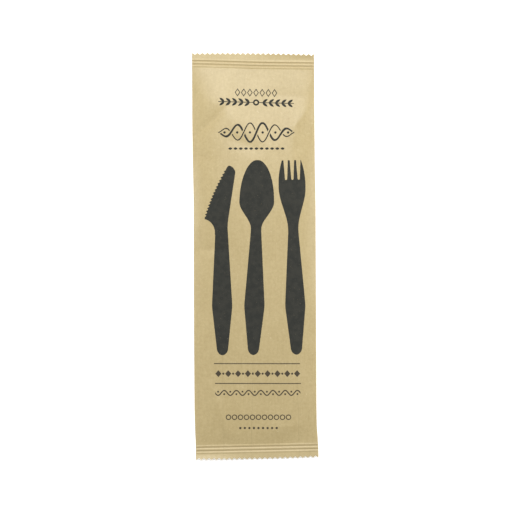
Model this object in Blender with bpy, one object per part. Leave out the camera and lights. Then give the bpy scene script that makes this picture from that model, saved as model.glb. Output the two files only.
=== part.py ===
"""Sealed paper pack of wooden cutlery, lying on its back.

A flattened tube of brown paper holds a knife, a fork and a spoon, stacked on one another.
Both ends are crimped flat and cut by a zigzag blade. The tube's own seam is a fin, folded
flat along the middle of the back. Nobody can see into the pack, so it is one closed solid.

+Y runs to the head of the pack, +X to its right and +Z up, out of the printed face. The
origin is on the surface that the pack lies on, under the middle of the pack.
"""

import math

import bmesh
import bpy
import numpy as np

MM = 0.001

# The paper tube, pressed flat.
LENGTH = 205.8 * MM  # along the middle, from cut to cut
WIDTH = 62.2 * MM  # across a crimped end
WAIST = 0.2 * MM  # how far the thick stretch draws each side in
TAIL_SHIFT = 0.5 * MM  # the tail crimp sits this far to the right of the body
SHIFT_START = 93 * MM  # the shift is taken up between these distances from the middle
SHIFT_END = 87 * MM
FOLD_EDGE = 0.4 * MM  # the paper at a side fold or in a crimp, both layers

# The body, as heights above the surface at distances from the middle of the pack.
CROWN_Y = np.array([-120, -96, -90, -40, 5, 28, 45, 58, 96, 120]) * MM
CROWN_Z = np.array([1.25, 1.25, 2.2, 4.6, 6.5, 7.4, 7.0, 6.2, 1.25, 1.25]) * MM
FOLD_Y = np.array([-120, -93, -80, 4, 24, 56, 93, 120]) * MM
FOLD_Z = np.array([1.05, 1.05, 1.3, 1.8, 2.2, 2.2, 1.05, 1.05]) * MM
BELLY_Y = np.array([-120, -92, -84, 84, 92, 120]) * MM
BELLY_Z = np.array([0.85, 0.85, 0.3, 0.3, 0.85, 0.85]) * MM
ROUNDING = 3.0 * MM  # half the stretch over which a profile's corners are eased
CROWN_POWER = 3.5  # how square-shouldered the printed face is
BELLY_START = 0.5  # share of the half width where the back leaves the surface

# The back seam, a fin folded flat.
FIN_WIDTH = 9.0 * MM
FIN_DEPTH = 0.3 * MM

# The crimps and the zigzag cuts.
RIBS = 2  # grooves in a crimp
FIRST_RIB = 4.15 * MM  # from the cut to the first groove
RIB_PITCH = 1.7 * MM
RIB_DEPTH = 0.16 * MM
TOOTH_PITCH = WIDTH / 24
TOOTH_DEPTH = 1.0 * MM
HEAD_SKEW = math.radians(-1.0)  # the head's cut falls away to the right
TAIL_SKEW = math.radians(0.75)
SPARE = 3.0 * MM  # paper past each cut, for the blade to take off

# How fine the solid is.
FACE_COLUMNS = 22
BACK_COLUMNS = 4
BODY_STATIONS = 38

PAPER = (0.54, 0.43, 0.22, 1.0)


def clear_scene():
    for thing in list(bpy.data.objects):
        bpy.data.objects.remove(thing, do_unlink=True)


def eased(y, knots_y, knots_z):
    """A straight-sided profile with its corners rounded by averaging over a short stretch."""
    steps = np.linspace(-ROUNDING, ROUNDING, 13)
    return float(np.mean([np.interp(y + step, knots_y, knots_z) for step in steps]))


def crowded(low, high, count):
    """Places from low to high that crowd towards both ends, where the paper bends most."""
    return [low + (high - low) * (1 - math.cos(math.pi * i / count)) / 2 for i in range(count + 1)]


def rib(y):
    """Height of the crimp's wave: a groove at each rib, and nothing away from the ends."""
    turns = (LENGTH / 2 - FIRST_RIB - abs(y)) / RIB_PITCH
    if -0.5 <= turns <= RIBS - 0.5:
        return -RIB_DEPTH * math.cos(2 * math.pi * turns)
    return 0.0


def half_width(y):
    """Half the pack's width: the sides draw in where the contents lift the paper."""
    lift = (eased(y, CROWN_Y, CROWN_Z) - CROWN_Z[0]) / (CROWN_Z.max() - CROWN_Z[0])
    return WIDTH / 2 - WAIST * lift


def middle_line(y):
    """The sideways step between the tail crimp and the body, shared about the middle."""
    places = [-LENGTH, -SHIFT_START, -SHIFT_END, LENGTH]
    return eased(y, places, [TAIL_SHIFT / 2, TAIL_SHIFT / 2, -TAIL_SHIFT / 2, -TAIL_SHIFT / 2])


def section(y):
    """One closed ring across the pack: the face from left to right, then back underneath."""
    half = half_width(y)
    fold = eased(y, FOLD_Y, FOLD_Z)
    rise = eased(y, CROWN_Y, CROWN_Z) - fold - FOLD_EDGE / 2
    drop = fold - FOLD_EDGE / 2 - eased(y, BELLY_Y, BELLY_Z)
    inner = half - FOLD_EDGE / 2
    ring = [(-half, fold)]
    for share in crowded(-1, 1, FACE_COLUMNS):
        ring.append((inner * share, fold + FOLD_EDGE / 2 + rise * (1 - abs(share) ** CROWN_POWER)))
    ring.append((half, fold))
    back = np.linspace(1, BELLY_START, BACK_COLUMNS)
    right = []
    for share in back:
        curl = (share - BELLY_START) / (1 - BELLY_START)
        right.append((inner * share, fold - FOLD_EDGE / 2 - drop * (1 - curl**2)))
    floor = fold - FOLD_EDGE / 2 - drop
    fin = FIN_WIDTH / 2
    right += [(fin + FIN_DEPTH, floor), (fin, floor - FIN_DEPTH)]
    ring += right + [(-x, z) for x, z in reversed(right)]
    return [(middle_line(y) + x, y, z + rib(y)) for x, z in ring]


def stations():
    """Places along the pack: each quarter of a crimp's wave, then crowded over the body."""
    body_end = LENGTH / 2 - FIRST_RIB - RIBS * RIB_PITCH
    marks = crowded(-body_end, body_end, BODY_STATIONS)
    quarters = range(-3, 4 * RIBS)
    crimp = [LENGTH / 2 - FIRST_RIB - quarter * RIB_PITCH / 4 for quarter in quarters]
    crimp.append(LENGTH / 2 + SPARE)
    return sorted(marks + crimp + [-y for y in crimp])


def loft(name, rings):
    """One closed mesh through rings of equal length, with its two end rings filled."""
    shape = bmesh.new()
    loops = [[shape.verts.new(point) for point in ring] for ring in rings]
    for one, two in zip(loops, loops[1:]):
        for i in range(len(one)):
            j = (i + 1) % len(one)
            shape.faces.new((one[i], one[j], two[j], two[i]))
    shape.faces.new(loops[0])
    shape.faces.new(loops[-1])
    bmesh.ops.recalc_face_normals(shape, faces=shape.faces)
    mesh = bpy.data.meshes.new(name)
    shape.to_mesh(mesh)
    shape.free()
    thing = bpy.data.objects.new(name, mesh)
    bpy.context.collection.objects.link(thing)
    return thing


def zigzag_blade(name, end, skew):
    """The block that a crimp's zigzag cut takes off, at the head (end 1) or the tail (end -1)."""
    teeth = math.ceil((WIDTH / 2 + SPARE) / TOOTH_PITCH)
    outline = []
    for step in range(-2 * teeth, 2 * teeth + 1):
        x = step * TOOTH_PITCH / 2
        tip = TOOTH_DEPTH / 2 if step % 2 else -TOOTH_DEPTH / 2
        outline.append((x, end * (LENGTH / 2 + tip) + x * math.tan(skew)))
    far = end * (LENGTH / 2 + 3 * SPARE)
    outline += [(outline[-1][0], far), (outline[0][0], far)]
    low, high = -5 * MM, 10 * MM
    blade = loft(name, [[(x, y, low) for x, y in outline], [(x, y, high) for x, y in outline]])
    blade.hide_render = True
    blade.display_type = "WIRE"
    return blade


def paper():
    material = bpy.data.materials.new("kraft_paper")
    material.use_nodes = True
    shader = material.node_tree.nodes["Principled BSDF"]
    shader.inputs["Base Color"].default_value = PAPER
    shader.inputs["Roughness"].default_value = 0.62
    shader.inputs["Metallic"].default_value = 0.0
    return material


def sealed_pack():
    pack = loft("sealed_pack", [section(y) for y in stations()])
    pack.data.materials.append(paper())
    for end, skew, label in ((1, HEAD_SKEW, "head"), (-1, TAIL_SKEW, "tail")):
        cut = pack.modifiers.new(f"{label}_cut", "BOOLEAN")
        cut.operation = "DIFFERENCE"
        cut.object = zigzag_blade(f"{label}_blade", end, skew)
    pack.data.shade_smooth()
    pack.data.set_sharp_from_angle(angle=math.radians(35))
    return pack


clear_scene()
sealed_pack()
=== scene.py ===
# %% [markdown]
# # A sealed paper pack of wooden cutlery
# On a bench this is one thing: a sheet of brown kraft paper, wrapped round a knife, a fork
# and a spoon, sealed along its back and crimped flat at both ends. The solid that was packed
# for it holds the true size. This lesson gives it its looks: one fine skin of paper, lifted
# and creased by what it holds, and one paper material that carries the dark printing.
#
# Everything below is in millimetres, in the solid's own frame: X across, Y to the head of the
# pack, Z up out of the printed face. Only the finished mesh is scaled to metres.

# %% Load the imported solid
import math

import bpy
import numpy as np
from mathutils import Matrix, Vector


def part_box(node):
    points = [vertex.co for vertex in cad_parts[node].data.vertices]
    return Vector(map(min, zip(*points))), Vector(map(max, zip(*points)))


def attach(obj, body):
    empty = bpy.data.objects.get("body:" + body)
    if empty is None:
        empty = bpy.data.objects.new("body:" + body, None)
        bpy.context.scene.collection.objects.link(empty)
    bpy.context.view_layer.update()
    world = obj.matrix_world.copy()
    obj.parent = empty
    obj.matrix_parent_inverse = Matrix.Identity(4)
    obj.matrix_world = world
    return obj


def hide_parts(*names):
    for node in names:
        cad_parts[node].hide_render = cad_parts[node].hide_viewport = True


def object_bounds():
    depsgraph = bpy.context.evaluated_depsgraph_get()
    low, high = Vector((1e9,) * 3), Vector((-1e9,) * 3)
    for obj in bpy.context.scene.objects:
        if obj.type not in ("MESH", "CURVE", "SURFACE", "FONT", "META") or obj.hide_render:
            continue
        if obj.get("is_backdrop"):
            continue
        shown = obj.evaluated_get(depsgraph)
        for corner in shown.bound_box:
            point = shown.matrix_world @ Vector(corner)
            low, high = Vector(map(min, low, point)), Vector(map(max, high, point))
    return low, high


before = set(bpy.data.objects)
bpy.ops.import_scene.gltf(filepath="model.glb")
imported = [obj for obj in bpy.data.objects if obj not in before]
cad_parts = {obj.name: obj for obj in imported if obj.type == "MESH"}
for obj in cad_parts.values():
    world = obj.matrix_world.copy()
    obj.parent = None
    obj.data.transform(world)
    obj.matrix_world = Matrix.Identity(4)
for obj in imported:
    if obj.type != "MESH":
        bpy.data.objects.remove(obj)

cad_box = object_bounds()
MM = 0.001
low, high = (np.array(corner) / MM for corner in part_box("sealed_pack"))
print("solid, mm:", np.round(high - low, 1))

# %% [markdown]
# ## The paper tube
# The real wrapper is a flat tube. Its outline is almost a rectangle, but not quite: the
# contents draw the sides in where the pack is thickest, the tail crimp sits a little to the
# right, and neither end is cut quite square. A box with its corners moved would lose all of
# that. So the outline is two side lines and two cuts, each a short list of places, and the
# corners between the places are eased so that the paper bends and doesn't break.

# %% Sizes of the tube
TOOTH_DEPTH = 1.0
HEAD_SKEW = math.tan(math.radians(-1.0))  # the head's cut falls away to the right
TAIL_SKEW = math.tan(math.radians(0.75))
SKEW_REACH = 40.0  # how far into the body a slanted cut is felt
CUT_ARCH = 0.35  # the cuts fall back towards their ends
HALF = 103.0  # from the middle of the pack to each cut
PAPER_EDGE = 0.4  # the doubled paper at a side fold, and in a crimp

LEFT_Y = [-103, -94, -89, -76, -40, 0, 28, 46, 70, 103]
LEFT_X = [-30.8, -30.8, -31.1, -31.3, -31.3, -31.1, -30.9, -31.2, -31.4, -31.3]
RIGHT_Y = [-103, -97, -92, -87, -76, -40, 0, 25, 46, 70, 103]
RIGHT_X = [31.6, 31.5, 31.2, 30.85, 30.75, 30.85, 30.95, 31.0, 30.8, 30.75, 30.85]


def eased(y, places, values, rounding=3.0):
    """Straight runs between the values, with corners rounded by averaging over a stretch."""
    steps = np.linspace(-rounding, rounding, 9)
    return sum(np.interp(y + step, places, values) for step in steps) / len(steps)


def step_up(value, start, end):
    """A smooth step from 0 at start to 1 at end: three t squared minus two t cubed."""
    t = np.clip((value - start) / (end - start), 0, 1)
    return t * t * (3 - 2 * t)


# %% The grid: two parameters, one across the tube and one along it
TEETH = 24
COLUMNS = 4 * TEETH  # each tooth of the zigzag cut takes four columns: tip, flank, root, flank
CRIMP = 8.0  # the end stretch with fine rows, for its pressed ribs
crimp_rows = np.linspace(0, CRIMP, 61)
body_rows = np.linspace(CRIMP - HALF, HALF - CRIMP, 276)
rows = np.concatenate([crimp_rows - HALF, body_rows[1:-1], HALF - crimp_rows[::-1]])
share = np.linspace(-1, 1, COLUMNS + 1)
across, along = np.meshgrid(share, rows)
print("grid:", across.shape, "finest row, mm:", round(float(np.diff(rows).min()), 2))

# %% The outline, with its zigzag cuts
from_head, from_tail = HALF - along, HALF + along  # distance in from each cut
from_cut = np.minimum(from_head, from_tail)
tooth = np.abs(np.arange(COLUMNS + 1) % 4 - 2) - 1.0  # 1 at a tip, -1 at a root
tooth = tooth[None, :] * TOOTH_DEPTH / 2 * np.clip(1 - from_cut / 1.5, 0, 1)
left, right = eased(along, LEFT_Y, LEFT_X), eased(along, RIGHT_Y, RIGHT_X)
inner_left, inner_right = left + PAPER_EDGE / 2, right - PAPER_EDGE / 2
x = inner_left + (inner_right - inner_left) * (across + 1) / 2
slant = HEAD_SKEW * step_up(along, HALF - SKEW_REACH, HALF - CRIMP)
slant = slant + TAIL_SKEW * step_up(-along, HALF - SKEW_REACH, HALF - CRIMP)
arch = -CUT_ARCH * across**2 * np.clip(1 - from_cut / 3, 0, 1)
y = along + x * slant + (tooth + arch) * np.sign(along)
print("outline, mm:", round(float(np.ptp(x)) + PAPER_EDGE, 1), "by", round(float(np.ptp(y)), 1))

# %% [markdown]
# ## How the contents lift the paper
# Paper bends but doesn't stretch, so the face of a pack like this is a few nearly flat facets
# that meet in soft ridges: a level top over the wood, a long tent that falls from the first
# hard corner to the head crimp, a steep drop to the tail crimp, and rounded shoulders down to
# the side folds. Cloth simulation would give softer, puffier folds than paper has. Taking the
# lowest of several sloping sheets gives those facets directly, and a smooth minimum gives the
# ridges their small radius.

# %% Blends of two heights
def soft_least(a, b, radius):
    """The lower of two heights, with the ridge between them rounded over about the radius."""
    return -radius * np.logaddexp(-a / radius, -b / radius)


def soft_most(a, b, radius):
    """The higher of two heights, with the valley between them rounded the same way."""
    return radius * np.logaddexp(a / radius, b / radius)


# %% The facets of the printed face
TOP_Y, TOP_Z = [-100, -88, -40, 5, 28, 45, 76, 100], [2.0, 2.3, 4.6, 6.5, 7.3, 6.9, 5.6, 5.0]
FOLD_Y, FOLD_Z = [-120, -93, -80, 4, 24, 56, 93, 120], [1.05, 1.05, 1.3, 1.8, 2.2, 2.2, 1.05, 1.05]
SHOULDER_POWER = 3.6  # how square the shoulders are
RIDGE_X = [-31, -15, -7, 1, 6, 13, 17, 19, 29, 31]
RIDGE_Y = [80, 76.5, 66, 59.5, 55, 48, 50, 62, 76, 78]  # where the head tent meets the top
HEAD_SEAM = 96.8  # where the head tent meets the crimp
TAIL_SEAM = 96.2
TAIL_SEAM_BOW = 3.2  # the tail seam curves back towards the corners
TAIL_SLOPE = 0.15

fold = eased(along, FOLD_Y, FOLD_Z)
top = eased(along, TOP_Y, TOP_Z, 8.0) - fold - PAPER_EDGE / 2
shoulder = 1 - np.abs(across) ** SHOULDER_POWER
ridge = eased(x, RIDGE_X, RIDGE_Y, 2.5)
ridge_height = eased(ridge, TOP_Y, TOP_Z, 8.0) - eased(ridge, FOLD_Y, FOLD_Z) - PAPER_EDGE / 2
head_tent = ridge_height * (HEAD_SEAM - along) / (HEAD_SEAM - ridge)
tail_drop = TAIL_SLOPE * (along + TAIL_SEAM - TAIL_SEAM_BOW * across**2)
lift = soft_least(soft_least(top, head_tent, 0.30), tail_drop, 0.2)
lift = soft_most(lift, 0, 0.05) * shoulder
print("lift of the face, mm:", round(float(lift.max()), 2))

# %% [markdown]
# ## Creases and dents
# Handling leaves marks that the facets can't explain: sharp little valleys where the paper
# buckled over a tip of wood, and shallow dents. Each is one line in a list: where it starts,
# where it ends, how wide its flanks are and how high it stands, below zero for a valley. A
# crease falls away on both sides as the exponential of the distance from its line, which
# keeps a crisp bottom with hollow flanks, as folded paper has. A dent is the same thing with
# a rounder bottom.

# %% Marks in the paper
# (start x, y), (end x, y), flank width, bottom's radius, height
MARKS = [
    ((-14, 76), (-31, 60), 2.6, 0.5, -0.85),
    ((-12, 60), (2, 54), 3.2, 1.6, -0.55),
    ((-29, 52), (-22, 48), 2.2, 1.0, -0.30),
    ((8, 82), (30, 80), 3.0, 1.2, -0.30),
    ((30, 77), (17, 62), 2.4, 0.8, 0.35),
    ((30, 66), (22, 54), 3.0, 1.2, -0.30),
    ((-30, 3), (-13, 4), 2.8, 0.9, -0.65),
    ((-23, -64), (-14, -92), 2.2, 0.8, 0.55),
    ((-30, -72), (-22, -94), 3.0, 1.0, -0.30),
    ((5, -88), (24, -86), 2.4, 1.0, 0.20),
]


def mark(start, end, width, radius, height):
    """A crease along a line: height times exp(-distance / width), fading out at both ends."""
    start, end = np.array(start, float), np.array(end, float)
    line = end - start
    length = np.linalg.norm(line)
    line /= length
    down = (x - start[0]) * line[0] + (y - start[1]) * line[1]
    off = (x - start[0]) * line[1] - (y - start[1]) * line[0]
    past = np.maximum(np.maximum(-down, down - length), 0)
    distance = np.sqrt(off**2 + (past * 0.8) ** 2 + radius**2) - radius
    middle = np.clip(1 - (2 * down / length - 1) ** 2, 0, 1) * 0.5 + 0.5
    return height * middle * np.exp(-distance / width) * np.exp(-((past / width) ** 2))


marks = sum(mark(*each) for each in MARKS)
print("marks:", len(MARKS), "deepest, mm:", round(float(marks.min()), 2))


# %% The paper's own unevenness
def cockle(x, y, size_x, size_y, seed):
    """Smooth bumps: random heights at the corners of a lattice, eased between the corners."""
    u, v = (x + 200) / size_x, (y + 200) / size_y
    i, j = np.floor(u).astype(int), np.floor(v).astype(int)
    fu, fv = step_up(u - i, 0, 1), step_up(v - j, 0, 1)
    heights = np.random.default_rng(seed).uniform(-1, 1, (i.max() + 2, j.max() + 2))
    near = heights[i, j] * (1 - fu) + heights[i + 1, j] * fu
    far = heights[i, j + 1] * (1 - fu) + heights[i + 1, j + 1] * fu
    return near * (1 - fv) + far * fv


turned_x, turned_y = x * 0.86 - y * 0.5, x * 0.5 + y * 0.86
unevenness = 0.07 * cockle(turned_x, turned_y, 11, 17, 3)
unevenness = unevenness + 0.025 * cockle(turned_y, turned_x, 4.3, 5.1, 8)

# %% [markdown]
# ## The crimps
# Heated jaws with a wavy face press the two sheets together. The wave runs parallel to the
# cut, with two grooves at each end, and both sides of the paper follow it. The grid's rows
# are parallel to the cut already, so the wave depends only on the distance from the cut: a
# cosine, sharpened so that the grooves are narrower than the ridges. The loose strip outside
# the ribs curls up a little, towards the right at the head and towards the left at the tail.

# %% Pressed ribs
# (first groove from the cut, grooves, pitch, depth)
HEAD_RIBS = (4.15, 2, 1.65, 0.17)
TAIL_RIBS = (4.15, 2, 1.75, 0.12)
HEAD_RIB_SWAY = 0.6  # the head's ribs run further from the cut right of the middle
HEAD_CURL, TAIL_CURL = 0.7, 0.6


def ribs(distance, first, count, pitch, depth):
    """One minus a cosine raised to a power, so that the grooves are narrower than the
    ridges: grooves a pitch apart, counted from the cut, between two ridges. Returns the
    height, and how far into a groove each point is, from 0 to 1."""
    turns = (distance - first) / pitch
    groove = (0.5 + 0.5 * np.cos(2 * np.pi * np.clip(turns, -0.5, count - 0.5))) ** 1.5
    outside = step_up(-turns, 0.5, 0.85) + step_up(turns, count - 0.5, count - 0.1)
    return depth * (1 - 2 * groove - outside), groove


sway = HEAD_RIB_SWAY * step_up(across, -1.0, 0.3)
(head_wave, head_groove), (tail_wave, tail_groove) = (
    ribs(from_head - sway, *HEAD_RIBS),
    ribs(from_tail, *TAIL_RIBS),
)
crimp, grooves = head_wave + tail_wave, head_groove + tail_groove
curl = HEAD_CURL * np.clip((across + 0.1) / 1.1, 0, 1) * np.clip(1 - from_head / 3.2, 0, 1) ** 1.5
curl = curl + TAIL_CURL * step_up(-across, 0.0, 0.9) * np.clip(1 - from_tail / 3.0, 0, 1) ** 1.5
in_body = step_up(lift, 0.05, 0.9)  # marks and bumps fade out in the pressed ends
face_z = fold + PAPER_EDGE / 2 + lift + (marks + unevenness) * in_body + crimp + curl
print("face, mm:", round(float(face_z.min()), 2), "to", round(float(face_z.max()), 2))

# %% [markdown]
# ## The back
# The back lies on the table, so it is flat, and curls up only towards the side folds. Down
# its middle runs the tube's own seam: a fin of doubled paper, folded flat. Its two edges are
# steps of less than a third of a millimetre, so the back's columns are drawn together there
# to keep the steps crisp, and spread evenly again at the cuts, where they have to meet the
# teeth.

# %% The back, with its folded fin
BELLY_Y, BELLY_Z = [-120, -92, -84, 84, 92, 120], [0.85, 0.85, 0.3, 0.3, 0.85, 0.85]
BELLY_START = 0.5  # share of the half width where the back leaves the table
FIN_HALF = 4.5
FIN_DEPTH = 0.3
FIN_EASE = 0.12  # the width of the step at the fin's edge
HALF_WIDTH = 31.1  # half the width of the flattened tube

column = 2 / COLUMNS  # the width of one column, as a share
fin_column = round(FIN_HALF / (31.1 * column)) * column
knots = [-1, -fin_column - column, -fin_column, fin_column, fin_column + column, 1]
steps = [-1, -(FIN_HALF + FIN_EASE) / HALF_WIDTH, -FIN_HALF / HALF_WIDTH]
gathered = np.interp(share, knots, steps + [-step for step in steps[::-1]])
loose = step_up(from_cut, 0.0, 2.5)
back_across = across + (gathered - share)[None, :] * loose
back_x = inner_left + (inner_right - inner_left) * (back_across + 1) / 2

belly = eased(along, BELLY_Y, BELLY_Z)
rise = np.clip((np.abs(back_across) - BELLY_START) / (1 - BELLY_START), 0, 1) ** 2
fin = np.where(np.abs(share) <= fin_column + column / 2, FIN_DEPTH, 0.0)[None, :]
back_z = belly + (fold - PAPER_EDGE / 2 - belly) * rise - fin + crimp + curl
back_bumps = 0.12 * cockle(x, y, 9, 14, 21) * rise * in_body
back_z = np.maximum(back_z + back_bumps, 0.0)
print("back, mm:", round(float(back_z.min()), 3), "to", round(float(back_z.max()), 2))

# %% [markdown]
# ## One closed skin
# The face, the right fold, the back and the left fold are laid side by side into one grid
# that closes on itself. The folds are half circles as wide as the doubled paper. The two cut
# ends are closed by strips between the face and the back.

# %% Points of the skin
FOLD_STEPS = 3


def fold_arc(edge, side):
    """Points of a side fold, from the face round to the back, on a half circle."""
    turn = np.pi * np.arange(1, FOLD_STEPS + 1) / (FOLD_STEPS + 1)
    reach = side * np.sin(turn) * PAPER_EDGE / 2
    arc_x = edge[:, :1] - side * PAPER_EDGE / 2 + reach
    arc_y = np.repeat(y[:, -1:] if side > 0 else y[:, :1], FOLD_STEPS, 1)
    level = fold + crimp + curl
    level = level[:, -1:] if side > 0 else level[:, :1]
    return np.stack([arc_x, arc_y, level + np.cos(turn) * PAPER_EDGE / 2], 2)


face_points = np.stack([x, y, face_z], 2)
back_points = np.stack([back_x, y, back_z], 2)[:, ::-1]
right_arc, left_arc = fold_arc(right, 1), fold_arc(left, -1)[:, ::-1]
points = np.concatenate([face_points, right_arc, back_points, left_arc], 1)
row_count, ring = points.shape[:2]
print("rings:", row_count, "of", ring, "points")

# %% Faces of the skin
corner = np.arange(row_count * ring).reshape(row_count, ring)
onward = np.roll(corner, -1, 1)
quads = np.stack([corner[:-1], onward[:-1], onward[1:], corner[1:]], 2).reshape(-1, 4)

face_of = np.arange(COLUMNS + 1)
back_of = ring - FOLD_STEPS - 1 - face_of  # the back's column under each of the face's
strip = np.stack([face_of[:-1], back_of[:-1], back_of[1:], face_of[1:]], 1)
left_tab = [0, *range(ring - 1, ring - FOLD_STEPS - 1, -1), back_of[0]]
right_tab = [*range(back_of[-1], COLUMNS - 1, -1)]
tail_caps = strip.tolist() + [left_tab, right_tab]
last = (row_count - 1) * ring
head_caps = [[last + k for k in reversed(cap)] for cap in tail_caps]

# %% The mesh
skin_mesh = bpy.data.meshes.new("paper_skin")
skin_mesh.from_pydata(points.reshape(-1, 3) * MM, [], quads.tolist() + tail_caps + head_caps)
skin = bpy.data.objects.new("paper_skin", skin_mesh)
bpy.context.scene.collection.objects.link(skin)
skin_mesh.shade_smooth()
skin_mesh.set_sharp_from_angle(angle=math.radians(55))
print("triangles:", sum(len(p.vertices) - 2 for p in skin_mesh.polygons))

# %% [markdown]
# ## Where the surface knows what it is
# Three numbers stored on the points tell the material about the paper's history: whether a
# point is on the printed side, how far it is from the nearest cut, for the painted sheen that
# makes the pressed ends paler, and how deep it is in a pressed groove, for the painted shade in
# the grooves. The UV map unrolls the tube into one rectangle, face and back side by side. The
# face gets the larger part, because the fine printing is there.

# %% Attributes and the unrolled map
printed = np.zeros((row_count, ring), np.float32)
printed[:, : COLUMNS + 1] = 1
cut_distance = np.repeat(from_cut[:, :1], ring, 1).astype(np.float32)
# how deep each point is in a crimp groove, on both sides of the paper, kept for the painted shade in the
# grooves
groove_shade = np.zeros((row_count, ring), np.float32)
groove_shade[:, : COLUMNS + 1] = grooves
groove_shade[:, COLUMNS + 1 + FOLD_STEPS : ring - FOLD_STEPS] = grooves[:, ::-1]
for name, values in (("printed_side", printed), ("from_cut", cut_distance), ("groove_shade", groove_shade)):
    attribute = skin_mesh.attributes.new(name, "FLOAT", "POINT")
    attribute.data.foreach_set("value", values.ravel())

MAP_STOPS = [0.003, 0.62, 0.635, 0.982, 0.997]  # face, right fold, back, left fold
MAP_ENDS = 0.012  # kept at each end for the strips in the cuts
CAP_MAP_WIDTH = 0.6  # how much of the map's width those strips take
map_u = np.interp(
    np.arange(ring + 1),
    [0, COLUMNS, COLUMNS + 1 + FOLD_STEPS, ring - FOLD_STEPS - 1, ring],
    MAP_STOPS,
)
map_v = MAP_ENDS + (1 - 2 * MAP_ENDS) * (rows + HALF) / (2 * HALF)

u_low = np.broadcast_to(map_u[:-1], (row_count - 1, ring))
u_high = np.broadcast_to(map_u[1:], (row_count - 1, ring))
v_low = np.broadcast_to(map_v[:-1, None], (row_count - 1, ring))
v_high = np.broadcast_to(map_v[1:, None], (row_count - 1, ring))
quad_u = np.stack([u_low, u_high, u_high, u_low], 2).ravel()
quad_v = np.stack([v_low, v_low, v_high, v_high], 2).ravel()


def cap_map(caps, near, far):
    """Each cut's strip lies along the map's edge: its face side near, its back side far."""
    point = np.concatenate(caps) % ring
    on_face = point <= COLUMNS
    spread = np.clip(np.where(on_face, point, back_of[0] - point), -1, COLUMNS + 1)
    u = MAP_STOPS[0] + CAP_MAP_WIDTH * (spread + 1) / (COLUMNS + 2)
    return np.stack([u, np.where(on_face, near, far)], 1)


caps_map = np.concatenate([cap_map(tail_caps, 0.009, 0.002), cap_map(head_caps, 0.991, 0.998)])
unrolled = skin_mesh.uv_layers.new(name="OFBake")
all_uv = np.concatenate([np.stack([quad_u, quad_v], 1), caps_map]).astype(np.float32)
unrolled.data.foreach_set("uv", all_uv.ravel())
print("map corners:", len(all_uv), "of", len(skin_mesh.loops))

# %% [markdown]
# ## Formulas in a shader
# The printing is worked out by the material itself, so it stays sharp however close the
# camera comes. Each printed shape is a formula that gives the distance to its edge, in
# millimetres, above zero inside the ink. Written as Math nodes such a formula is long, so the
# small class below lets it be written as plain arithmetic, and adds one node for each sign.

# %% A number that nodes work out
class Wire:
    """A number in a node tree. Arithmetic on it adds a Math node and returns a new one."""

    def __init__(self, tree, socket):
        self.tree, self.socket = tree, socket

    def work(self, operation, *others, flip=False):
        node = self.tree.nodes.new("ShaderNodeMath")
        node.operation = operation
        values = [self, *others]
        for place, value in enumerate(reversed(values) if flip else values):
            if isinstance(value, Wire):
                self.tree.links.new(value.socket, node.inputs[place])
            else:
                node.inputs[place].default_value = value
        return Wire(self.tree, node.outputs[0])

    def __add__(self, other):
        return self.work("ADD", other)

    def __mul__(self, other):
        return self.work("MULTIPLY", other)

    __radd__, __rmul__ = __add__, __mul__

    def __sub__(self, other):
        return self.work("SUBTRACT", other)

    def __rsub__(self, other):
        return self.work("SUBTRACT", other, flip=True)

    def __truediv__(self, other):
        return self.work("DIVIDE", other)

    def __rtruediv__(self, other):
        return self.work("DIVIDE", other, flip=True)

    def __neg__(self):
        return self.work("MULTIPLY", -1.0)

    def size(self):
        return self.work("ABSOLUTE")

    def root(self):
        return self.work("MAXIMUM", 0.0).work("SQRT")

    def least(self, other):
        return self.work("MINIMUM", other)

    def most(self, other):
        return self.work("MAXIMUM", other)

    def eased_least(self, other, radius):
        return self.work("SMOOTH_MIN", other, radius)

    def repeat(self, pitch):
        """The place within the nearest of many cells a pitch wide, from its middle."""
        return self.work("WRAP", pitch / 2, -pitch / 2)

    def ramp(self, start, end, first=0.0, last=1.0, smooth=True):
        """A smooth or straight change from first to last, between start and end."""
        node = self.tree.nodes.new("ShaderNodeMapRange")
        node.interpolation_type = "SMOOTHSTEP" if smooth else "LINEAR"
        self.tree.links.new(self.socket, node.inputs["Value"])
        for name, value in (("From Min", start), ("From Max", end), ("To Min", first), ("To Max", last)):
            node.inputs[name].default_value = value
        return Wire(self.tree, node.outputs["Result"])


def length_of(a, b):
    """The length of the vector (a, b)."""
    return (a * a + b * b).root()


# %% Groups with named sockets
def new_group(name, inputs, outputs):
    """A node group, its tree and its input sockets as a dictionary, ready for formulas."""
    tree = bpy.data.node_groups.new(name, "ShaderNodeTree")
    for label, kind, value in inputs:
        socket = tree.interface.new_socket(label, in_out="INPUT", socket_type=f"NodeSocket{kind}")
        if value is not None:
            socket.default_value = value
    for label, kind in outputs:
        tree.interface.new_socket(label, in_out="OUTPUT", socket_type=f"NodeSocket{kind}")
    entry, leave = tree.nodes.new("NodeGroupInput"), tree.nodes.new("NodeGroupOutput")
    return tree, entry, leave


def shape_group(name, formula, *settings):
    """A printed shape: formula(x, y, settings) gives the distance inside its edge."""
    inputs = [("Place", "Vector", None)] + [(label, "Float", value) for label, value in settings]
    tree, entry, leave = new_group(name, inputs, [("Inside", "Float")])
    apart = tree.nodes.new("ShaderNodeSeparateXYZ")
    tree.links.new(entry.outputs["Place"], apart.inputs[0])
    numbers = [Wire(tree, entry.outputs[label]) for label, _ in settings]
    inside = formula(Wire(tree, apart.outputs["X"]), Wire(tree, apart.outputs["Y"]), *numbers)
    tree.links.new(inside.socket, leave.inputs["Inside"])
    return tree


# %% [markdown]
# ## The three printed figures
# A knife, a spoon and a fork share one handle: it widens in a straight line from the neck,
# narrows in a straight line to the end, and ends in half an ellipse. So the handle is a
# formula of its own, used three times with its own neck. The heads are simple too. The bowl
# is an ellipse that runs into the neck by a smooth step. The fork is a smooth step with three
# slots cut out. The blade has a straight back, a curved edge with teeth, and a hollow scooped
# out at its heel.

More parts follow.
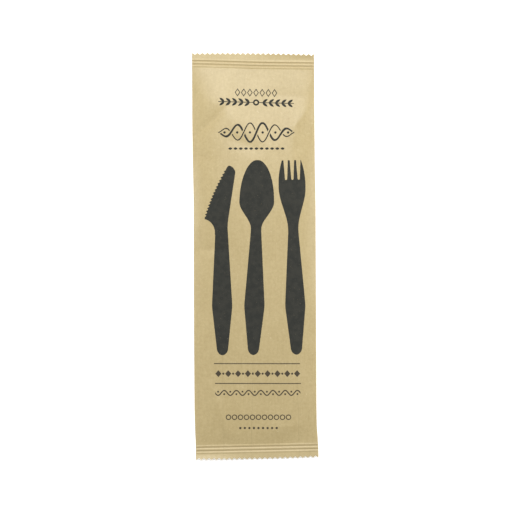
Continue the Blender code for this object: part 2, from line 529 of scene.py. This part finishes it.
# %% The handle that all three share
NECK_Y, WIDEST_Y, END_Y = 12.0, -25.4, -47.2
WIDEST, END_HALF, END_LENGTH = 5.2, 2.85, 3.1


def handle(x, y, neck):
    """The smaller of two straight tapers, times half an ellipse at the end."""
    growing = (NECK_Y - y) * ((WIDEST - neck) / (NECK_Y - WIDEST_Y)) + neck
    falling = (y - END_Y) * ((WIDEST - END_HALF) / (WIDEST_Y - END_Y)) + END_HALF
    past_end = (END_Y - y).most(0.0) / END_LENGTH
    half = growing.eased_least(falling, 0.5) * (1 - past_end * past_end).root()
    return (half - x.size()).least(NECK_Y + 2.5 - y)


# %% The spoon
BOWL_HALF, BOWL_MIDDLE, BOWL_LENGTH, BOWL_END, SPOON_NECK = 8.8, 27.5, 21.25, 48.65, 2.68


def spoon(x, y):
    """Neck to bowl by a smooth step, times half an ellipse above the bowl's widest place."""
    half = y.ramp(13.9, 27.3, SPOON_NECK, BOWL_HALF)
    past = (y - BOWL_MIDDLE).most(0.0) / BOWL_LENGTH
    bowl = (half * (1 - past * past).root() - x.size()).least(y - 11.0)
    bowl = bowl.eased_least(BOWL_END - y, 0.3)
    return bowl.most(handle(x, y, SPOON_NECK))


# %% The fork
FORK_HALF, FORK_NECK, TINE_END = 6.85, 2.62, 48.5
SLOT_PITCH, SLOT_HALF, SLOT_BOTTOM, SLOT_FLARE, SLOT_SHIFT = 3.21, 0.52, 38.5, 0.060, 0.27


def fork(x, y):
    """Neck to head by a smooth step, pulled in by a parabola at the tips, minus the slots."""
    tip = (y - 36).most(0.0)
    half = y.ramp(13.5, 34.5, FORK_NECK, FORK_HALF) - tip * tip * 0.0128
    head = (half - x.size()).least(y - 11.0)
    off = (x - SLOT_SHIFT).size()
    nearest = off.least((off - SLOT_PITCH).size())
    slot = ((y - SLOT_BOTTOM) * SLOT_FLARE + SLOT_HALF - nearest).eased_least(y - SLOT_BOTTOM, 0.9)
    head = head.least(-slot).eased_least(TINE_END - y, 0.3)
    return head.most(handle(x, y, FORK_NECK))


# %% The knife
KNIFE_NECK = 3.2
TIP_RADIUS, TIP_X, TIP_Y = 4.05, 3.2, 42.0
SAW_PITCH, SAW_SIZE = 1.55, 0.36
HEEL_X, HEEL_Y, HEEL_WIDE, HEEL_HIGH = -9.8, 12.0, 6.4, 7.0


def knife(x, y):
    """Between a straight back and a parabola with teeth, outside the heel's ellipse."""
    back = ((y - 15.7) * 0.16 + 2.95).work("SMOOTH_MAX", 3.05, 0.8) - x
    up = y - 34
    teeth = (y * (2 * math.pi / SAW_PITCH)).work("SINE") * SAW_SIZE
    teeth = teeth * y.ramp(43.2, 44.2, 1.0, 0.0) * y.ramp(19.2, 20.4)
    edge = x - (up * 0.47 + up * up * 0.006 - 2.9) - teeth
    corner = TIP_RADIUS - length_of((x - TIP_X).most(0.0), (y - TIP_Y).most(0.0))
    heel = (length_of((x - HEEL_X) / HEEL_WIDE, (y - HEEL_Y) / HEEL_HIGH) - 1) * HEEL_WIDE
    blade = back.least(edge.eased_least(corner, 1.2)).least(heel).least(y - 11.0)
    return blade.most(handle(x, y, KNIFE_NECK))


# %% [markdown]
# ## The small ornaments
# Where a wrapper would have words, this one has plain ornaments of the same size and weight:
# open lozenges and a leafy sprig at the head, a plait under them, a row of leaves, then a
# lozenge border and a wave between two rules, and rings and dots at the foot. Each is a row:
# the place along it is wrapped into one short cell, so one shape is printed as often as the
# row is long.

# %% Rows of shapes
def dots(x, y, pitch, half_length, radius):
    """In each cell, the radius minus the distance from the cell's middle."""
    return (radius - length_of(x.repeat(pitch), y)).least(half_length - x.size())


def rings(x, y, pitch, half_length, radius, stroke):
    """In each cell, half the stroke minus how far the point is from the circle."""
    gap = (length_of(x.repeat(pitch), y) - radius).size()
    return (stroke / 2 - gap).least(half_length - x.size())


def lozenges(x, y, pitch, half_length, wide, high, stroke):
    """One minus the two distances as shares of the half sizes, and half a stroke at most."""
    edge = (1 - x.repeat(pitch).size() / wide - y.size() / high) * (wide * high / length_of(wide, high))
    return edge.least(stroke - edge).least(half_length - x.size())


def leaves(x, y, pitch, half_length, leaf_length, leaf_half):
    """In each cell a leaf that lies along the row: a parabola's width on both sides."""
    t = x.repeat(pitch) / leaf_length
    return ((1 - t * t * 4) * leaf_half - y.size()).least(half_length - x.size())


def rule(x, y, half_length, thick):
    """A straight line: half its thickness minus the distance from its middle."""
    return (thick / 2 - y.size()).least(half_length - x.size())


# %% The leafy sprig
SPRIG_PITCH, SPRIG_HALF, LEAF_LENGTH, LEAF_HALF, LEAF_LEAN = 3.2, 19.2, 3.3, 0.62, math.radians(36)


def sprig(x, y):
    """Pairs of leaves lean outwards from a stem, with a ring in the middle. Each leaf is a
    parabola's width about an axis turned by the lean, in cells that count from the middle."""
    out = x.size() - SPRIG_PITCH
    t, side = out.work("FLOORED_MODULO", SPRIG_PITCH), y.size()
    down = (t * math.cos(LEAF_LEAN) + side * math.sin(LEAF_LEAN)) / LEAF_LENGTH * 2 - 1
    off = side * math.cos(LEAF_LEAN) - t * math.sin(LEAF_LEAN)
    leaf = ((1 - down * down) * LEAF_HALF - off.size()).least(out)
    grown = leaf.most((0.2 - side).least(out + 1.6)).least(SPRIG_HALF - x.size())
    reach = length_of(x, y)
    return grown.most((1.6 - reach).least(reach - 0.75))


# %% The plait
PLAIT_HALF, PLAIT_HIGH, PLAIT_WAVE, STRAND, PLAIT_GAP = 19.3, 4.9, 12.9, 1.0, 0.55


def plait(x, y):
    """Two mirrored sine strands, flattened to nothing at the ends by a cosine. Each goes
    under the other at every second crossing, where it is cut back by a small gap."""
    turn = x * (2 * math.pi / PLAIT_WAVE)
    high = (x * (math.pi / 2 / PLAIT_HALF)).work("COSINE").most(0.0).work("POWER", 0.7) * PLAIT_HIGH
    rise, swing = turn.work("SINE") * high, turn.work("COSINE")
    steep = swing * high * (2 * math.pi / PLAIT_WAVE)
    square = (steep * steep + 1).root()
    first = STRAND / 2 - (y - rise).size() / square
    second = STRAND * 0.3 - (y + rise).size() / square
    under_first = first.least((swing * 9.0).most(-PLAIT_GAP - second))
    under_second = second.least((-swing * 9.0).most(-PLAIT_GAP - first))
    eye = 0.62 - length_of((x - PLAIT_WAVE / 4).repeat(PLAIT_WAVE / 2), y)
    eye = eye.least(PLAIT_HALF * 0.92 - x.size())
    return under_first.most(under_second).most(eye).least(PLAIT_HALF - x.size())


# %% The border
BORDER_PITCH, BORDER_HALF = 5.0, 22.5


def border(x, y):
    """Solid lozenges with a dot between each two."""
    lozenge = (1 - x.repeat(BORDER_PITCH).size() / 1.6 - y.size() / 1.75) * 1.18
    dot = 0.55 - length_of((x - BORDER_PITCH / 2).repeat(BORDER_PITCH), y)
    return lozenge.most(dot.least(BORDER_HALF - BORDER_PITCH / 2 - x.size())).least(BORDER_HALF - x.size())


# %% The wave
WAVE_LENGTH, WAVE_HIGH, WAVE_HALF = 6.2, 1.25, 21.7


def wave(x, y):
    """A thin sine line with a dot in each hollow."""
    turn = x * (2 * math.pi / WAVE_LENGTH)
    slope = turn.work("COSINE") * (WAVE_HIGH * 2 * math.pi / WAVE_LENGTH)
    line = 0.3 - (y - turn.work("SINE") * WAVE_HIGH).size() / (slope * slope + 1).root()
    hollow = (x - WAVE_LENGTH / 4).repeat(WAVE_LENGTH / 2)
    dot = 0.5 - length_of(hollow, y + turn.work("SINE") * 0.65)
    return line.most(dot).least(WAVE_HALF - x.size())


# %% [markdown]
# ## The printing plate
# Every shape becomes a small node group, so that each can be used again with other sizes.
# A list says where each is printed, which way it is turned and which ink it has. The figures
# are in a full black; the small print at the foot is in the same ink but thinner, so that it
# looks browner. One group gathers them, and gives one mask for each ink.

# %% The shapes as groups
ROW = [("Pitch", 3.0), ("Half Length", 10.0)]
SHAPES = {
    "spoon": shape_group("spoon", spoon),
    "fork": shape_group("fork", fork),
    "knife": shape_group("knife", knife),
    "sprig": shape_group("sprig", sprig),
    "plait": shape_group("plait", plait),
    "wave": shape_group("wave", wave),
    "border": shape_group("border", border),
    "dots": shape_group("dots", dots, *ROW, ("Radius", 0.5)),
    "rings": shape_group("rings", rings, *ROW, ("Radius", 1.0), ("Stroke", 0.4)),
    "lozenges": shape_group("lozenges", lozenges, *ROW, ("Wide", 1.0), ("High", 1.0), ("Stroke", 9.0)),
    "leaves": shape_group("leaves", leaves, *ROW, ("Leaf Length", 2.0), ("Leaf Half", 0.5)),
    "rule": shape_group("rule", rule, ("Half Length", 20.0), ("Thick", 0.48)),
}
print("shape groups:", {name: len(group.nodes) for name, group in SHAPES.items()})

# %% Where each is printed
# (shape, x, y, degrees turned, sizes in the order of the shape's settings)
FULL_INK = [
    ("knife", -16.85, 0.0, 0.0),
    ("spoon", 0.28, 0.0, -1.69),
    ("fork", 19.8, 0.0, 1.15),
    ("lozenges", 1.15, 83.0, -1.4, 3.13, 10.95, 1.4, 2.1, 0.38),
    ("sprig", 1.15, 78.0, -1.8),
    ("plait", 1.15, 62.7, -0.4),
    ("leaves", 1.15, 54.5, -0.4, 2.65, 14.55, 2.1, 0.62),
]
THIN_INK = [
    ("rule", 0.65, -54.7, -0.5, 21.85, 0.48),
    ("border", 0.98, -59.8, -0.4),
    ("rule", 1.05, -64.8, -0.5, 21.85, 0.48),
    ("wave", 0.91, -69.6, -0.4),
    ("rings", 1.2, -82.0, -0.4, 3.05, 16.77, 1.15, 0.5),
    ("dots", 1.16, -87.5, -0.4, 2.31, 10.4, 0.6),
]
EDGE = 0.06  # half the width over which an edge fades, where the ink soaks in


# %% The plate as one group
def printed_mask(tree, place, layout):
    """The most inside of all the shapes in a layout, as a mask with a slightly soft edge."""
    most = None
    for name, at_x, at_y, turned, *sizes in layout:
        moved = tree.nodes.new("ShaderNodeMapping")
        moved.vector_type = "TEXTURE"
        moved.inputs["Location"].default_value = (at_x, at_y, 0)
        moved.inputs["Rotation"].default_value = (0, 0, math.radians(turned))
        tree.links.new(place, moved.inputs["Vector"])
        shape = tree.nodes.new("ShaderNodeGroup")
        shape.node_tree, shape.label = SHAPES[name], name
        tree.links.new(moved.outputs[0], shape.inputs["Place"])
        for socket, size in zip(list(shape.inputs)[1:], sizes):
            socket.default_value = size
        inside = Wire(tree, shape.outputs["Inside"])
        most = inside if most is None else most.most(inside)
    return most.ramp(-EDGE, EDGE)


plate, plate_in, plate_out = new_group(
    "printing_plate", [("Place", "Vector", None)], [("Full Ink", "Float"), ("Thin Ink", "Float")]
)
for output, layout in (("Full Ink", FULL_INK), ("Thin Ink", THIN_INK)):
    mask = printed_mask(plate, plate_in.outputs["Place"], layout)
    plate.links.new(mask.socket, plate_out.inputs[output])

# %% [markdown]
# ## Kraft paper
# Kraft is unbleached wood pulp. From arm's length it is an even straw brown with soft clouds.
# Closer, it is mottled, faintly streaked along the web's direction, and full of fibres: pale
# and dark threads about a tenth of a millimetre wide, curled every way. A thread is a contour
# line of a distorted noise, kept only where a second noise is high, so it comes in short
# lengths. The same pattern lifts the surface by a few hundredths, which breaks up the sheen.

# %% The paper's pattern as a group
def noise(tree, place, scale, detail=2.0, distortion=0.0, stretch=(1, 1, 1)):
    """Fractal noise with that many lumps a millimetre, from about 0.2 to 0.8."""
    if stretch != (1, 1, 1):
        pulled = tree.nodes.new("ShaderNodeMapping")
        pulled.inputs["Scale"].default_value = stretch
        tree.links.new(place, pulled.inputs["Vector"])
        place = pulled.outputs[0]
    node = tree.nodes.new("ShaderNodeTexNoise")
    for name, value in (("Scale", scale), ("Detail", detail), ("Distortion", distortion)):
        node.inputs[name].default_value = value
    tree.links.new(place, node.inputs["Vector"])
    return Wire(tree, node.outputs["Fac"])


def mixed(tree, factor, first, second):
    """A colour between two, each a tuple or a socket."""
    node = tree.nodes.new("ShaderNodeMix")
    node.data_type = "RGBA"
    for socket, value in ((node.inputs[0], factor), (node.inputs[6], first), (node.inputs[7], second)):
        if isinstance(value, Wire):
            tree.links.new(value.socket, socket)
        elif isinstance(value, bpy.types.NodeSocket):
            tree.links.new(value, socket)
        else:
            socket.default_value = value
    return node.outputs[2]


def threads(tree, place, scale, fineness, seed_shift, kept):
    """1 on the contour line of a distorted noise, in the short lengths that a mask keeps."""
    moved = tree.nodes.new("ShaderNodeMapping")
    moved.inputs["Location"].default_value = (seed_shift, -seed_shift, seed_shift / 2)
    tree.links.new(place, moved.inputs["Vector"])
    field = noise(tree, moved.outputs[0], scale, 1.0, 0.6)
    line = (field - 0.5).size().ramp(0.0, fineness, 1.0, 0.0)
    lengths = noise(tree, moved.outputs[0], scale * 1.7, 0.0).ramp(kept, kept + 0.05)
    return line * lengths


PULP_DARK, PULP_PALE = (0.375, 0.290, 0.134, 1), (0.465, 0.372, 0.190, 1)
paper_pattern, pulp_in, pulp_out = new_group(
    "kraft_pulp",
    [("Place", "Vector", None)],
    [("Colour", "Color"), ("Roughness", "Float"), ("Height", "Float")],
)
spot = pulp_in.outputs["Place"]
clouds = noise(paper_pattern, spot, 0.09, 3.0)
mottle = noise(paper_pattern, spot, 0.75, 4.0)
grain = noise(paper_pattern, spot, 3.2, 3.0)
streaks = noise(paper_pattern, spot, 1.3, 2.0, 0.3, (1.0, 0.06, 1.0))
pale_threads = threads(paper_pattern, spot, 0.42, 0.010, 11.0, 0.56)
dark_threads = threads(paper_pattern, spot, 0.50, 0.009, 37.0, 0.58)
tone = clouds * 0.16 + mottle * 0.32 + grain * 0.36 + streaks * 0.16
tone = tone.ramp(0.36, 0.64, smooth=False)
pulp = mixed(paper_pattern, tone, PULP_DARK, PULP_PALE)
pulp = mixed(paper_pattern, pale_threads * 0.35, pulp, (0.66, 0.56, 0.36, 1))
pulp = mixed(paper_pattern, dark_threads * 0.30, pulp, (0.24, 0.16, 0.07, 1))
paper_pattern.links.new(pulp, pulp_out.inputs["Colour"])
rough = grain.ramp(0.3, 0.7, 0.41, 0.49) - pale_threads * 0.06
paper_pattern.links.new(rough.socket, pulp_out.inputs["Roughness"])
height = grain * 0.014 + mottle * 0.035 + (pale_threads + dark_threads) * 0.012
paper_pattern.links.new(height.socket, pulp_out.inputs["Height"])

# %% [markdown]
# ## The finished paper
# The ink lies on the fibres, not over them: it skips a few pits, its solid areas are slightly
# uneven, and it is a little smoother than bare paper. The pressed ends are painted paler, a
# painted sheen for the flat pressed paper, and the grooves of their ribs get painted shade in a
# darker brown. The very edge of the cut shows raw pulp.

# %% The material
kraft = bpy.data.materials.new("kraft_paper")
kraft.use_nodes = True
tree = kraft.node_tree
shader = tree.nodes["Principled BSDF"]
metres = tree.nodes.new("ShaderNodeTexCoord").outputs["Object"]
scaled = tree.nodes.new("ShaderNodeVectorMath")
scaled.operation = "SCALE"
scaled.inputs["Scale"].default_value = 1 / MM
tree.links.new(metres, scaled.inputs[0])
place = scaled.outputs[0]

pattern = tree.nodes.new("ShaderNodeGroup")
pattern.node_tree = paper_pattern
tree.links.new(place, pattern.inputs["Place"])


def stored(name):
    node = tree.nodes.new("ShaderNodeAttribute")
    node.attribute_name = name
    return Wire(tree, node.outputs["Fac"])


# %% Soaked edges of the ink
soak = tree.nodes.new("ShaderNodeTexNoise")
soak.inputs["Scale"].default_value = 2.2
tree.links.new(place, soak.inputs["Vector"])
drift = tree.nodes.new("ShaderNodeVectorMath")
drift.operation = "MULTIPLY_ADD"
drift.inputs[1].default_value = (0.16, 0.16, 0.0)
tree.links.new(soak.outputs["Color"], drift.inputs[0])
back_off = tree.nodes.new("ShaderNodeVectorMath")
back_off.operation = "SUBTRACT"
back_off.inputs[1].default_value = (0.08, 0.08, 0.0)
tree.links.new(place, back_off.inputs[0])
tree.links.new(back_off.outputs[0], drift.inputs[2])
plate_node = tree.nodes.new("ShaderNodeGroup")
plate_node.node_tree = plate
tree.links.new(drift.outputs[0], plate_node.inputs["Place"])

# %% Ink, painted sheen on the pressed ends, painted shade in the grooves, and raw edge
FULL_BLACK, BLACK_MOTTLE = (0.014, 0.015, 0.011, 1), (0.022, 0.022, 0.016, 1)
THIN_BLACK = (0.036, 0.027, 0.016, 1)
side, cut = stored("printed_side"), stored("from_cut")
pits = noise(tree, place, 2.6, 2.0).ramp(0.71, 0.79, 1.0, 0.5)
full = Wire(tree, plate_node.outputs["Full Ink"]) * side * pits
thin = Wire(tree, plate_node.outputs["Thin Ink"]) * side * pits * 0.96
ink_tone = noise(tree, place, 0.35, 3.0).ramp(0.35, 0.65)
# painted sheen: the paper within about 7 mm of each cut is painted paler, standing in for the brighter
# look of the flat pressed ends under the lights
pressed_end_sheen = cut.ramp(6.2, 7.4, 1.0, 0.0) * 0.2
raw = cut.ramp(0.0, 0.35, 0.5, 0.0)
colour = mixed(tree, pressed_end_sheen, pattern.outputs["Colour"], (0.60, 0.50, 0.30, 1))
# painted shade: the crimp's grooves are darkened towards a deep brown, the deeper the point lies in a
# groove
colour = mixed(tree, stored("groove_shade") * 0.22, colour, (0.26, 0.17, 0.06, 1))
colour = mixed(tree, raw, colour, (0.68, 0.60, 0.42, 1))
colour = mixed(tree, thin, colour, THIN_BLACK)
colour = mixed(tree, full, colour, mixed(tree, ink_tone, FULL_BLACK, BLACK_MOTTLE))
tree.links.new(colour, shader.inputs["Base Color"])
inked = full.most(thin)
roughness = Wire(tree, pattern.outputs["Roughness"]) + inked * 0.4
tree.links.new(roughness.socket, shader.inputs["Roughness"])
shader.inputs["Specular IOR Level"].default_value = 0.5

bump = tree.nodes.new("ShaderNodeBump")
bump.inputs["Distance"].default_value = MM
bump.inputs["Strength"].default_value = 1.0
tree.links.new(pattern.outputs["Height"], bump.inputs["Height"])
tree.links.new(bump.outputs[0], shader.inputs["Normal"])

skin_mesh.materials.append(kraft)
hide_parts("sealed_pack")
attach(skin, "root")
print("material nodes:", len(tree.nodes))

# %% [markdown]
# ## The studio
# A pack shot: the pack lies on a white table and the camera looks straight down. The fill is
# an even white sky, which keeps the table white. One large soft box hangs past the head of the
# pack, high up. It glances off the slope at the head, so the paper is palest there, and it
# draws the creases. Two narrower boxes, left and right, light the shoulders along the sides.

# %% Table
half_floor = 1.2
table_mesh = bpy.data.meshes.new("table_top")
corners = [(-half_floor, -half_floor, 0), (half_floor, -half_floor, 0), (half_floor, half_floor, 0)]
table_mesh.from_pydata(corners + [(-half_floor, half_floor, 0)], [], [(0, 1, 2, 3)])
table_top = bpy.data.objects.new("table_top", table_mesh)
bpy.context.scene.collection.objects.link(table_top)
white = bpy.data.materials.new("table_white")
white.use_nodes = True
white_shader = white.node_tree.nodes["Principled BSDF"]
white_shader.inputs["Base Color"].default_value = (0.9, 0.9, 0.9, 1)
white_shader.inputs["Roughness"].default_value = 0.8
white_shader.inputs["Emission Color"].default_value = (1, 1, 1, 1)
white_shader.inputs["Emission Strength"].default_value = 0.35
table_mesh.materials.append(white)
table_top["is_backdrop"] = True


# %% Lights
def soft_box(name, place, size_x, size_y, power):
    """A rectangular area light, aimed at the middle of the pack."""
    lamp = bpy.data.lights.new(name, "AREA")
    lamp.shape, lamp.size, lamp.size_y, lamp.energy = "RECTANGLE", size_x, size_y, power
    box = bpy.data.objects.new(name, lamp)
    x_at, y_at, z_at = box.location = place
    flat = math.hypot(x_at, y_at)
    box.rotation_euler = (math.atan2(flat, z_at), 0, math.atan2(-x_at, y_at) + math.pi)
    bpy.context.scene.collection.objects.link(box)


soft_box("gloss_box", (0.0, 0.45, 0.85), 0.5, 0.35, 7.3)
soft_box("head_box", (0.0, 0.9, 0.45), 0.8, 0.4, 2.5)
soft_box("left_box", (-0.9, 0.0, 0.16), 0.25, 0.9, 6.0)
soft_box("right_box", (0.9, 0.0, 0.16), 0.25, 0.9, 7.5)

scene = bpy.context.scene
scene.world = bpy.data.worlds.new("white_sky")
scene.world.use_nodes = True
sky = scene.world.node_tree.nodes["Background"]
sky.inputs["Color"].default_value = (1, 1, 1, 1)
sky.inputs["Strength"].default_value = 0.3
scene.view_settings.view_transform = "Standard"

# %% Camera
camera_data = bpy.data.cameras.new("camera")
camera_data.lens, camera_data.sensor_width = 200, 36
camera = bpy.data.objects.new("camera", camera_data)
camera.location = (0.53 * MM, 0, 1.449)
camera.rotation_euler = (0, 0, math.radians(-0.42))
scene.collection.objects.link(camera)
scene.camera = camera

# %% Sizes, and the end
visual_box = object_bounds()
grown = np.array(visual_box) - np.array(cad_box)
print("visual box against the solid's, mm:", np.round(grown / MM, 2).tolist())
